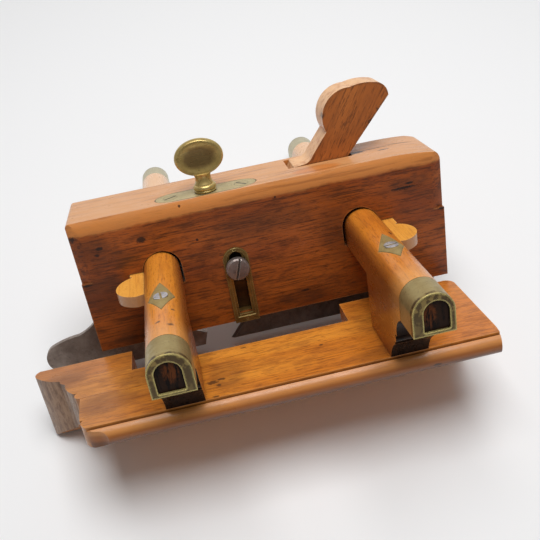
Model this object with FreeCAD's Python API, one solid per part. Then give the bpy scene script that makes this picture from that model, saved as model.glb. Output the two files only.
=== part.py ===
import FreeCAD, Part
import math
import os
from FreeCAD import Vector

# A wooden plough plane: a stock with two steel skates, a fence carried on two keyed stems,
# a screw depth stop with a side lock, and an iron held by a wedge.
# Lengths in millimetres. While drawing, x runs from the toe to the heel, y from the fence side
# to the off side, and z up from the underside of the stock.

# Stock
stock_length = 203.0
stock_height = 76.2
stock_thickness = 39.3
front_arris_drop = 7.0
front_arris_depth = 1.9
back_arris_drop = 5.0
back_arris_depth = 2.2
heel_ease_start = 174.0
heel_ease_end = 199.8
heel_ease_drop = 2.0
heel_nose_drop = 7.4
heel_far_corner_length = 12.0
heel_far_corner_depth = 13.3
toe_round = 2.5
corner_chamfer_length = 6.5
corner_chamfer_depth = 2.6
corner_chamfer_foot = 42.0
rebate_height = 14.0

# Skates
skate_thickness = 3.0
skate_near_face = 24.0
skate_drop = 24.3
skate_nose_reach = 37.2
front_skate_end = 56.3
front_skate_hook = 2.5
rivet_radius = 1.9
rivet_head_radius = 3.6
rivet_head_depth = 1.7
rivet_length = 13.0
rivet_height = 7.0
front_rivet_places = (12.0, 34.0)
rear_rivet_places = (122.0, 152.0, 186.0)

# Bed, iron and wedge
bed_angle = 50.0
bed_foot = 74.5
edge_rise = 33.0
iron_length = 93.0
iron_width = 12.7
iron_tang_width = 9.5
iron_blade_length = 48.0
iron_thickness_edge = 5.0
iron_thickness_top = 2.0
iron_bevel_angle = 30.0
iron_bed_gap = 0.05
vee_height = 1.5
vee_gap = 0.25
groove_length = 58.0
mortise_front = 122.4
mortise_front_angle = 62.0
mortise_near = 17.5
mortise_width = 16.5
throat_height = 36.0
throat_toe = 46.0
throat_rise = 27.0
wedge_side_gap = 0.3
wedge_iron_gap = 0.15
wedge_front_gap = 3.0
wedge_foot_gap = 0.3
wedge_foot_height = 30.0
wedge_tip_height = 21.5
wedge_head_rise = 37.9
wedge_tail_rise = 29.0

# Depth stop with its screw, plates and lock
screw_x = 75.5
screw_y = 10.3
plate_length = 55.6
plate_width = 14.4
plate_thickness = 1.6
plate_end_length = 12.5
plate_screw_offset = 19.3
plate_screw_radius = 3.6
plate_screw_length = 12.0
disc_width = 26.0
disc_height = 19.8
disc_thickness = 4.6
disc_centre_rise = 18.6
disc_dish = 1.35
disc_rim = 1.9
disc_round = 0.9
neck_radius = 4.2
bead_radius = 6.1
bead_height = 2.7
cuff_height = 1.3
head_gap = 0.1
spindle_radius = 2.4
spindle_end_height = 8.0
thread_pitch = 1.27
thread_depth = 0.5
collar_radius = 4.6
collar_height = 2.4
stop_bar_thickness = 6.4
stop_bar_toe_reach = 5.1
stop_bar_heel_reach = 5.9
stop_bar_top = 43.0
stop_head_room = 3.0
stop_side_gap = 0.3
shoe_toe = 62.0
shoe_heel = 106.0
shoe_near = 3.2
shoe_width = 14.0
shoe_corner_round = 3.0
shoe_thickness = 4.0
shoe_top_gap = 0.3
shoe_rivet_radius = 1.3
side_plate_offset = 8.0
side_plate_width = 13.9
side_plate_height = 45.7
side_plate_foot = -0.8
side_plate_thickness = 2.2
side_plate_inset = 1.0
side_plate_border = 1.9
side_plate_sink = 0.6
slot_width = 7.1
slot_foot = 4.0
slot_top = 42.4
lock_height = 33.3
lock_shank_radius = 2.8
lock_head_radius = 6.4
lock_head_height = 3.6
lock_end_gap = 0.4
lock_gap = 0.25
plate_pin_radius = 0.7
plate_pin_length = 3.6

# Stems, ferrules, washers and their screws
stem_front_x = 43.4
stem_rear_x = 155.7
stem_half_width = 9.65
stem_foot_height = 31.0
stem_height = 20.0
stem_near = -105.9
stem_far = 167.4
stem_gap = 0.3
stem_play_front = (0.9, 0.4)
stem_play_rear = (-1.3, 1.0)
ferrule_length = 16.4
ferrule_wall = 1.3
ferrule_end_recess = 1.2
ferrule_lip = 3.8
ferrule_sole_lip = 1.6
ferrule_window_shifts = {"front": -0.6, "rear": 1.2}
foot_inner = -36.2
foot_outer = -67.7
foot_flare = 20.4
washer_length = 28.5
washer_width = 13.0
washer_thickness = 1.2
washer_rise = 0.15
stem_screw_radius = 1.9
stem_screw_head_radius = 3.5
stem_screw_reach = 10.0

# Stem keys
key_thickness = 6.0
key_top = 41.9
key_width = 7.6
key_taper = 0.05
key_gap = 0.15
key_nick_front = -3.9
key_nick_rear = -8.5
key_front_lobe_length = 24.2
key_rear_lobe_length = 23.0
key_front_lobe_bulge = 7.0
key_rear_lobe_bulge = 6.0
key_tail = 7.0

# Fence
fence_top = -1.3
fence_inner = -4.7
fence_heel = 203.0
fence_reach = 67.7
fence_lip = 11.4
fence_depth = 38.4
fence_deep_width = 6.0
fence_lip_width = 24.0
fence_nose = 3.5
fence_nose_height = 10.3
fence_heel_round = 5.5
fence_heel_wear = 1.4
quirk_width = 0.9
quirk_depth = 1.8
relief_toe = 16.5
relief_heel = 136.0
relief_width = 19.9
relief_depth = 23.2

# The origin lies on the skate's sole, under the middle of the stock's length and in the
# middle of the skate's thickness.
origin = Vector(stock_length / 2, skate_near_face + skate_thickness / 2, -skate_drop)


def point(plane, a, b, depth=0.0):
    if plane == "xy":
        return Vector(a, b, depth)
    if plane == "xz":
        return Vector(a, depth, b)
    return Vector(depth, a, b)


def outline(plane, start, steps, depth=0.0):
    """A face from a start point and steps: a point is a straight line, two points an arc."""
    edges = []
    here = start
    for step in list(steps) + [start]:
        if isinstance(step[0], tuple):
            via, there = step
            arc = Part.Arc(point(plane, *here, depth), point(plane, *via, depth), point(plane, *there, depth))
            edges.append(arc.toShape())
        else:
            there = step
            if math.dist(here, there) < 1e-6:
                continue
            edges.append(Part.LineSegment(point(plane, *here, depth), point(plane, *there, depth)).toShape())
        here = there
    return Part.Face(Part.Wire(edges))


def bend(start, end, leaving):
    """The middle point of the arc from start to end that leaves start in a given direction."""
    chord = (end[0] - start[0], end[1] - start[1])
    length = math.hypot(*chord)
    turn = math.atan2(leaving[1], leaving[0]) - math.atan2(chord[1], chord[0])
    turn = math.atan2(math.sin(turn), math.cos(turn))
    rise = length / 2 * math.tan(turn / 2)
    middle = ((start[0] + end[0]) / 2, (start[1] + end[1]) / 2)
    return (middle[0] - chord[1] / length * rise, middle[1] + chord[0] / length * rise)


def prism(plane, start, steps, low, high):
    along = {"xy": Vector(0, 0, 1), "xz": Vector(0, 1, 0), "yz": Vector(1, 0, 0)}[plane]
    return outline(plane, start, steps, low).extrude(along * (high - low))


def box(x0, x1, y0, y1, z0, z1):
    return Part.makeBox(x1 - x0, y1 - y0, z1 - z0, Vector(x0, y0, z0))


def rod(radius, start, direction, length):
    return Part.makeCylinder(radius, length, Vector(*start), Vector(*direction))


def turned(profile, centre, axis=(0, 0, 1)):
    """A solid turned from (radius, height) points about the vertical through centre."""
    points = [Vector(r, 0, h) for r, h in profile]
    face = Part.Face(Part.makePolygon(points + [points[0]]))
    solid = face.revolve(Vector(0, 0, 0), Vector(0, 0, 1), 360)
    solid.Placement = FreeCAD.Placement(Vector(*centre), FreeCAD.Rotation(Vector(0, 0, 1), Vector(*axis)))
    return solid


def join(shapes):
    whole = shapes[0].fuse(shapes[1:]) if len(shapes) > 1 else shapes[0]
    return whole.removeSplitter()


def wood_screw(radius, head_radius, head_depth, length, slot_turn, top, direction):
    """A countersunk screw with a slotted head, its head's top face at the point top."""
    profile = [
        (0, 0),
        (radius * 0.5, 0),
        (radius, radius * 1.8),
        (radius, length - head_depth),
        (head_radius, length - 0.35),
        (head_radius, length),
        (0, length),
    ]
    solid = turned(profile, (0, 0, 0))
    slot = box(-head_radius * 1.2, head_radius * 1.2, -0.45, 0.45, length - 0.9, length + 1)
    slot.rotate(Vector(0, 0, 0), Vector(0, 0, 1), slot_turn)
    solid = solid.cut(slot)
    solid.translate(Vector(0, 0, -length))
    solid.Placement = FreeCAD.Placement(
        Vector(*top), FreeCAD.Rotation(Vector(0, 0, 1), Vector(*direction))
    ).multiply(solid.Placement)
    return solid


# Bed: s runs up the bed from the sole, n stands off it towards the toe.
bed_sine = math.sin(math.radians(bed_angle))
bed_cosine = math.cos(math.radians(bed_angle))
bed_frame = FreeCAD.Placement(Vector(bed_foot, 0, -skate_drop), FreeCAD.Rotation(Vector(0, 1, 0), -bed_angle))


def on_bed(s, n):
    return (bed_foot + s * bed_cosine - n * bed_sine, -skate_drop + s * bed_sine + n * bed_cosine)


def bed_x(z):
    return bed_foot + (z + skate_drop) * bed_cosine / bed_sine


def wall_x(z):
    """The mortise's front wall at a height."""
    return mortise_front - (stock_height - z) / math.tan(math.radians(mortise_front_angle))


side_plate_x = screw_x + side_plate_offset
stop_bar_toe = screw_x - stop_bar_toe_reach
stop_bar_heel = side_plate_x + stop_bar_heel_reach
skate_middle = skate_near_face + skate_thickness / 2
skate_far_face = skate_near_face + skate_thickness
mortise_middle = mortise_near + mortise_width / 2
stem_top = stem_foot_height + stem_height
stem_middles = {"front": stem_front_x, "rear": stem_rear_x}
outward = {"front": -1, "rear": 1}
stem_plays = {"front": stem_play_front, "rear": stem_play_rear}


def stem_section(middle, inset, low, high, sole_inset=None):
    half = stem_half_width - inset
    foot = stem_foot_height + (inset if sole_inset is None else sole_inset)
    shoulder = stem_top - stem_half_width
    return prism(
        "xz",
        (middle - half, foot),
        [
            (middle + half, foot),
            (middle + half, shoulder),
            ((middle, shoulder + half), (middle - half, shoulder)),
        ],
        low,
        high,
    )


def key_edge(side, middle, y, gap):
    """The key's outer edge at a depth y, and its inner edge along the stem's flank."""
    flank = stem_half_width + gap
    return middle + side * (flank + key_width - key_taper * max(y, 0.0))


def build_skates():
    sole = -skate_drop
    nose = -skate_nose_reach
    front = prism(
        "xz",
        (front_skate_end, sole),
        [
            (front_skate_end + front_skate_hook, sole + 7.9),
            (front_skate_end - 1.4, sole + 10.0),
            ((front_skate_end - 8.5, sole + 15.0), (throat_toe - 1.0, 0.0)),
            (throat_toe - 1.0, rebate_height),
            (1.5, rebate_height),
            ((-4.6, 6.2), (nose + 22.0, 0.3)),
            ((nose + 12.0, -1.2), (nose + 4.7, -3.7)),
            ((nose + 0.2, -9.5), (nose + 1.6, -17.5)),
            ((nose + 4.8, sole + 2.2), (nose + 11.0, sole)),
        ],
        skate_near_face,
        skate_far_face,
    )
    reach = (skate_drop + rebate_height) / bed_sine
    apex_foot = on_bed(-vee_height * bed_cosine / bed_sine, vee_height)
    apex_top = on_bed(reach - vee_height * bed_cosine / bed_sine, vee_height)
    rear = prism(
        "xz",
        apex_foot,
        [
            apex_top,
            (stock_length, rebate_height),
            (stock_length, sole + 5.0),
            ((stock_length - 1.5, sole + 1.5), (stock_length - 5.0, sole)),
        ],
        skate_near_face,
        skate_far_face,
    )
    for side in (-1, 1):
        face = skate_middle + side * skate_thickness / 2
        spare = skate_middle + side * skate_thickness
        bevel = outline(
            "yz",
            (skate_middle, vee_height),
            [(face, 0.0), (spare, 0.0), (spare, vee_height + 1.0), (skate_middle, vee_height + 1.0)],
            -10.0,
        ).extrude(Vector(reach + 20.0, 0, 0))
        bevel.Placement = bed_frame
        rear = rear.cut(bevel)
    rivets = []
    for x in front_rivet_places + rear_rivet_places:
        rivets.append(
            wood_screw(
                rivet_radius,
                rivet_head_radius,
                rivet_head_depth,
                rivet_length,
                25.0 + x,
                (x, skate_far_face, rivet_height),
                (0, 1, 0),
            )
        )
    front_count = len(front_rivet_places)
    front = front.cut(rivets[:front_count])
    rear = rear.cut(rivets[front_count:])
    return front, rear, rivets


def build_iron():
    edge = edge_rise
    top = edge_rise + iron_length
    bevel = iron_thickness_edge / math.tan(math.radians(iron_bevel_angle))
    blade = outline(
        "xz",
        (edge, iron_thickness_edge),
        [(edge + bevel, iron_bed_gap), (top, iron_bed_gap), (top, iron_thickness_top)],
        skate_middle - iron_width / 2,
    ).extrude(Vector(0, iron_width, 0))
    for side in (-1, 1):
        inner = skate_middle + side * iron_tang_width / 2
        outer = skate_middle + side * iron_width
        shoulder = prism(
            "xy",
            (edge + iron_blade_length, outer),
            [(edge + iron_blade_length + 3.0, inner), (top + 5.0, inner), (top + 5.0, outer)],
            -5.0,
            15.0,
        )
        blade = blade.cut(shoulder)
    half = skate_thickness / 2 + vee_gap
    groove = outline(
        "yz",
        (skate_middle - half, 0.0),
        [(skate_middle, vee_height + vee_gap), (skate_middle + half, 0.0), (skate_middle, -1.0)],
        edge - 10.0,
    ).extrude(Vector(groove_length + 10.0, 0, 0))
    blade = blade.cut(groove)
    blade.Placement = bed_frame
    return blade


def back_of_wedge(z):
    """The wedge's back edge, just clear of the iron's tapered front face, at a height."""
    slope = (iron_thickness_top - iron_thickness_edge) / iron_length
    n0 = iron_thickness_edge + wedge_iron_gap - slope * edge_rise
    s = (z + skate_drop - n0 * bed_cosine) / (bed_sine + slope * bed_cosine)
    return on_bed(s, n0 + slope * s)[0]


def build_wedge():
    near = mortise_near + wedge_side_gap
    far = mortise_near + mortise_width - wedge_side_gap
    top = stock_height
    foot_front = wall_x(wedge_foot_height) + wedge_foot_gap
    toe = mortise_front + wedge_front_gap
    back = back_of_wedge(top)
    brow = top + wedge_head_rise
    tip = (back_of_wedge(top + wedge_tail_rise), top + wedge_tail_rise)
    return prism(
        "xz",
        (back_of_wedge(wedge_tip_height), wedge_tip_height),
        [
            tip,
            ((tip[0] - 1.7, brow - 3.8), (tip[0] - 6.7, brow - 0.9)),
            ((tip[0] - 13.3, brow), (tip[0] - 20.8, brow - 0.8)),
            ((tip[0] - 31.9, brow - 4.1), (tip[0] - 37.3, brow - 13.0)),
            ((tip[0] - 37.5, brow - 17.0), (back - 10.2, top + 15.6)),
            (back - 19.4, top + 4.4),
            ((back - 21.8, top + 1.6), (back - 25.0, top + 0.5)),
            (toe + 1.2, top + 0.1),
            ((toe + 0.3, top - 0.2), (toe, top - 0.9)),
            (foot_front, wedge_foot_height),
            ((foot_front + 3.6, wedge_foot_height - 5.2), (back_of_wedge(wedge_tip_height), wedge_tip_height)),
        ],
        near,
        far,
    )


def build_stop():
    bar_near = screw_y - stop_bar_thickness / 2
    bar_far = screw_y + stop_bar_thickness / 2
    shoe_foot = shoe_top_gap
    bar_foot = shoe_foot + shoe_thickness
    bar = box(stop_bar_toe, stop_bar_heel, bar_near, bar_far, bar_foot, stop_bar_top)
    bore = rod(spindle_radius + 0.06, (screw_x, screw_y, bar_foot - 1), (0, 0, 1), stop_bar_top)
    bar = bar.cut(bore)
    hole = rod(lock_shank_radius + 0.06, (side_plate_x, bar_near - 1, lock_height), (0, 1, 0), stop_bar_thickness + 2)
    bar = bar.cut(hole)
    shoe = box(shoe_toe, shoe_heel, shoe_near, shoe_near + shoe_width, shoe_foot, bar_foot)
    corners = [edge for edge in shoe.Edges if abs(edge.BoundBox.ZLength - shoe_thickness) < 1e-6]
    shoe = shoe.makeFillet(shoe_corner_round, corners)
    rivets = []
    for x in (screw_x + 8.0, stop_bar_heel - 2.6):
        rivets.append(rod(shoe_rivet_radius, (x, screw_y, shoe_foot), (0, 0, 1), shoe_thickness + 8.0))
    shoe = shoe.cut(rivets)
    bar = bar.cut(rivets)
    well = rod(spindle_radius + 0.5, (screw_x, screw_y, shoe_foot - 1), (0, 0, 1), shoe_thickness + 2)
    shoe = shoe.cut(well)
    return bar, shoe, rivets


def build_stop_screw():
    base = stock_height + head_gap
    disc_z = stock_height + disc_centre_rise
    half = disc_thickness / 2
    reach = disc_height / 2
    inner = reach - disc_rim
    edges = []
    for side in (-1, 1):
        middle = Vector(0, side * (half - disc_dish), 0)
        brim = Vector(inner, side * half, 0)
        hollow = Vector(inner / 2, side * (half - disc_dish * 0.75), 0)
        lip = Vector(reach - disc_round, side * half, 0)
        edges.append(Part.Arc(middle, hollow, brim).toShape())
        edges.append(Part.LineSegment(brim, lip).toShape())
    lower = Vector(reach - disc_round, -half, 0)
    upper = Vector(reach - disc_round, half, 0)
    edges.append(Part.Arc(lower, Vector(reach, 0, 0), upper).toShape())
    edges.append(Part.LineSegment(Vector(0, disc_dish - half, 0), Vector(0, half - disc_dish, 0)).toShape())
    disc = Part.Face(Part.Wire(Part.__sortEdges__(edges))).revolve(Vector(0, 0, 0), Vector(0, 1, 0), 360)
    stretch = FreeCAD.Matrix()
    stretch.scale(Vector(disc_width / disc_height, 1, 1))
    disc = disc.transformGeometry(stretch)
    disc.translate(Vector(screw_x, screw_y, disc_z))
    neck_top = disc_z - disc_height / 2 + 1.6
    cuff = base + cuff_height
    bead = cuff + bead_height
    shoulder = (neck_radius + 0.9, bead + 0.4)
    under_disc = (neck_radius + 0.7, neck_top)
    neck = outline(
        "xz",
        (0, base),
        [
            (bead_radius - 0.6, base),
            ((bead_radius - 0.1, base + cuff_height / 2), (bead_radius - 0.6, cuff)),
            ((bead_radius + 0.1, cuff + bead_height / 2), (bead_radius - 1.0, bead)),
            shoulder,
            ((neck_radius, (bead + neck_top) / 2), under_disc),
            (0, neck_top),
        ],
    ).revolve(Vector(0, 0, 0), Vector(0, 0, 1), 360)
    neck.translate(Vector(screw_x, screw_y, 0))
    spindle_top = bead
    head = disc.fuse(neck).removeSplitter()
    profile = [(0, spindle_end_height), (spindle_radius - thread_depth, spindle_end_height)]
    z = spindle_end_height + 0.3
    while z < stop_bar_top:
        profile.append((spindle_radius - thread_depth, z))
        profile.append((spindle_radius, z + thread_pitch * 0.3))
        profile.append((spindle_radius, z + thread_pitch * 0.6))
        z += thread_pitch
    profile.append((spindle_radius - 0.2, z))
    profile.append((spindle_radius - 0.2, spindle_top))
    profile.append((0, spindle_top))
    spindle = turned(profile, (screw_x, screw_y, 0))
    head = head.cut(spindle)
    collar_top = stock_height - plate_thickness - head_gap
    collar = rod(collar_radius, (screw_x, screw_y, collar_top - collar_height), (0, 0, 1), collar_height)
    collar = collar.cut(spindle)
    return head, spindle, collar


def build_top_plate():
    half = plate_length / 2 - plate_end_length
    edges = []
    for side in (-1, 1):
        centre = Vector(screw_x + side * half, screw_y, 0)
        end = Part.Ellipse(centre, plate_end_length, plate_width / 2)
        first = -math.pi / 2 if side > 0 else math.pi / 2
        edges.append(Part.ArcOfEllipse(end, first, first + math.pi).toShape())
    for side in (-1, 1):
        y = screw_y + side * plate_width / 2
        edges.append(Part.LineSegment(Vector(screw_x - half, y, 0), Vector(screw_x + half, y, 0)).toShape())
    plate = Part.Face(Part.Wire(Part.__sortEdges__(edges))).extrude(Vector(0, 0, plate_thickness))
    plate.translate(Vector(0, 0, stock_height - plate_thickness))
    plate = plate.cut(rod(spindle_radius + 0.1, (screw_x, screw_y, 0), (0, 0, 1), stock_height + 5))
    screws = []
    for side, turn in ((-1, 28.0), (1, -46.0)):
        screws.append(
            wood_screw(
                1.6,
                plate_screw_radius,
                2.0,
                plate_screw_length,
                turn,
                (screw_x + side * plate_screw_offset, screw_y, stock_height),
                (0, 0, 1),
            )
        )
    return plate.cut(screws), screws


def slot_outline(half_width, foot, top, low, high):
    """An upright slot, square at the foot and round at the top."""
    shoulder = top - half_width
    return prism(
        "xz",
        (side_plate_x - half_width, foot),
        [
            (side_plate_x + half_width, foot),
            (side_plate_x + half_width, shoulder),
            ((side_plate_x, top), (side_plate_x - half_width, shoulder)),
        ],
        low,
        high,
    )


def build_side_plate():
    back = side_plate_inset
    face = side_plate_inset - side_plate_thickness
    top = side_plate_foot + side_plate_height
    blank = slot_outline(side_plate_width / 2, side_plate_foot, top, face, back)
    sunk = slot_outline(
        side_plate_width / 2 - side_plate_border,
        side_plate_foot + 3.4,
        top - side_plate_border,
        face - 1.0,
        face + side_plate_sink,
    )
    slot = slot_outline(slot_width / 2, slot_foot, slot_top, face - 1.0, back + 1.0)
    pins = []
    for z in (side_plate_foot + 1.7, top - 1.0):
        pins.append(rod(plate_pin_radius, (side_plate_x, face, z), (0, 1, 0), plate_pin_length))
    return blank.cut([sunk, slot] + pins), blank, pins


def build_lock_screw():
    seat = side_plate_inset - side_plate_thickness - lock_gap
    head = turned(
        [
            (0, 0),
            (lock_head_radius, 0),
            (lock_head_radius, lock_head_height - 0.7),
            (lock_head_radius - 0.7, lock_head_height),
            (0, lock_head_height + 0.25),
        ],
        (0, 0, 0),
    )
    slot = box(-lock_head_radius - 1, lock_head_radius + 1, -0.6, 0.6, lock_head_height - 1.5, lock_head_height + 1)
    slot.rotate(Vector(0, 0, 0), Vector(0, 0, 1), 72.0)
    head = head.cut(slot)
    head.Placement = FreeCAD.Placement(
        Vector(side_plate_x, seat, lock_height), FreeCAD.Rotation(Vector(1, 0, 0), 90)
    )
    reach = screw_y + stop_bar_thickness / 2 - lock_end_gap - seat
    shank = rod(lock_shank_radius, (side_plate_x, seat, lock_height), (0, 1, 0), reach)
    return join([head, shank])


def build_stem(which):
    middle = stem_middles[which]
    near_inner = stem_near + ferrule_length
    far_inner = stem_far - ferrule_length
    shaft = stem_section(middle, 0.0, near_inner, far_inner)
    near_end = stem_section(middle, ferrule_wall, stem_near + ferrule_end_recess, near_inner)
    far_end = stem_section(middle, ferrule_wall, far_inner, stem_far - ferrule_end_recess)
    flare = foot_outer - foot_flare
    foot = prism(
        "yz",
        (foot_inner, fence_top),
        [
            (foot_inner, stem_foot_height + 1.0),
            (flare, stem_foot_height + 1.0),
            (flare, stem_foot_height - 0.6),
            ((flare + 4.8, stem_foot_height - 4.6), (foot_outer - 13.2, fence_top + 21.6)),
            (foot_outer - 13.4, fence_top + 19.6),
            (foot_outer - 9.8, fence_top + 19.2),
            ((foot_outer - 11.4, fence_top + 16.6), (foot_outer - 8.8, fence_top + 14.2)),
            (foot_outer - 9.4, fence_top + 13.0),
            ((foot_outer - 3.6, fence_top + 7.4), (foot_outer, fence_top)),
        ],
        middle - stem_half_width,
        middle + stem_half_width,
    )
    ferrules = []
    near_bore = (stem_near + ferrule_end_recess, near_inner + 1)
    far_bore = (far_inner - 1, stem_far - ferrule_end_recess)
    for low, high, bore in ((stem_near, near_inner, near_bore), (far_inner, stem_far, far_bore)):
        room = stem_section(middle, ferrule_wall, *bore)
        window_middle = middle + ferrule_window_shifts[which]
        window = stem_section(window_middle, ferrule_lip, low - 1, high + 1, ferrule_sole_lip)
        ferrules.append(stem_section(middle, 0.0, low, high).cut([room, window]))
    centre = (foot_inner + foot_outer) / 2
    half_length = washer_length / 2
    half_width = washer_width / 2
    diamond = prism(
        "xy",
        (middle - half_width, centre),
        [(middle, centre - half_length), (middle + half_width, centre), (middle, centre + half_length)],
        stem_top - stem_half_width,
        stem_top + 5,
    )
    proud = stem_section(middle, -washer_rise, centre - washer_length, centre + washer_length)
    core = stem_section(middle, washer_thickness - washer_rise, centre - washer_length, centre + washer_length)
    washer = diamond.common(proud).cut(core)
    screw_top = stem_top + washer_rise
    screw_length = screw_top - fence_top + stem_screw_reach
    slot_turn = 96.0 if which == "front" else 8.0
    screw = wood_screw(
        stem_screw_radius,
        stem_screw_head_radius,
        2.4,
        screw_length,
        slot_turn,
        (middle, centre, screw_top),
        (0, 0, 1),
    )
    stem = join([shaft, near_end, far_end, foot]).cut([washer, screw])
    return stem, ferrules, washer.cut(screw), screw


def build_key(which):
    middle = stem_middles[which]
    side = outward[which]
    nick = key_nick_front if which == "front" else key_nick_rear
    inner = middle + side * (stem_half_width + key_gap)
    tail = stock_thickness + key_tail
    front = nick - (key_front_lobe_length if which == "front" else key_rear_lobe_length)
    bulge = key_front_lobe_bulge if which == "front" else key_rear_lobe_bulge
    near_edge = key_edge(side, middle, 0.0, key_gap)
    far_edge = key_edge(side, middle, tail, key_gap)
    return prism(
        "xy",
        (inner, front + 1.0),
        [
            (inner, tail),
            (far_edge - side * 1.2, tail),
            ((far_edge - side * 0.3, tail - 0.4), (far_edge, tail - 1.5)),
            (key_edge(side, middle, 1.0, key_gap), 1.0),
            (near_edge, nick + 1.4),
            (near_edge - side * 1.3, nick),
            (near_edge + side * 0.4, nick - 0.6),
            ((near_edge + side * bulge, nick - 12.6), (inner + side * 4.0, front)),
        ],
        key_top - key_thickness,
        key_top,
    )


def build_fence():
    top = fence_top
    edge = -fence_reach
    lip = top - fence_lip
    deep = top - fence_depth
    section = prism(
        "yz",
        (fence_inner, top),
        [
            (edge, top),
            (edge, top - quirk_depth),
            (edge - quirk_width, top - quirk_depth),
            (edge - quirk_width, lip + fence_nose_height),
            ((edge - quirk_width - fence_nose, lip + fence_nose_height / 2), (edge - quirk_width, lip)),
            (edge + fence_lip_width, lip),
            (fence_inner - fence_deep_width - 1.5, deep + 0.6),
            ((fence_inner - fence_deep_width, deep + 0.1), (fence_inner - fence_deep_width + 1.6, deep)),
            (fence_inner, deep),
        ],
        relief_toe - 70.0,
        fence_heel,
    )
    toe = relief_toe
    contour = prism(
        "xy",
        (fence_heel, fence_inner - fence_heel_round),
        [
            (
                (fence_heel - 0.29 * fence_heel_round, fence_inner - 0.29 * fence_heel_round),
                (fence_heel - fence_heel_round, fence_inner),
            ),
            (fence_heel - fence_heel_round, fence_inner + 1.0),
            (toe - 51.2, fence_inner + 1.0),
            (toe - 51.2, fence_inner),
            ((toe - 53.4, fence_inner - 2.6), (toe - 52.6, fence_inner - 6.2)),
            ((toe - 45.6, fence_inner - 12.4), (toe - 39.0, fence_inner - 15.2)),
            (toe - 38.4, fence_inner - 17.6),
            (toe - 35.7, fence_inner - 19.7),
            ((toe - 34.6, fence_inner - 25.0), (toe - 31.6, fence_inner - 29.4)),
            ((toe - 29.9, fence_inner - 30.6), (toe - 28.4, fence_inner - 30.4)),
            ((toe - 29.7, fence_inner - 32.8), (toe - 28.7, fence_inner - 35.2)),
            (toe - 26.6, fence_inner - 36.3),
            (toe - 25.8, edge + 12.0),
            (toe - 25.2, edge + 6.8),
            (toe - 23.7, edge + 7.2),
            (toe - 24.8, edge + 5.0),
            ((toe - 22.6, edge + 0.6), (toe - 17.8, edge - 2.0)),
            ((toe - 14.0, edge - 3.0), (toe - 11.0, edge - fence_nose - 2.0)),
            (fence_heel - fence_heel_wear, edge - fence_nose - 2.0),
            (fence_heel - fence_heel_wear, edge - fence_nose - quirk_width),
            ((fence_heel - 0.3 * fence_heel_wear, edge + 1.5), (fence_heel, edge + 13.0)),
        ],
        deep - 1.0,
        top + 1.0,
    )
    fence = section.common(contour)
    relief = box(relief_toe, relief_heel, fence_inner - relief_width, fence_inner + 1, top - relief_depth, top + 1)
    fence = fence.cut(relief)
    return fence.removeSplitter()


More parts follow.
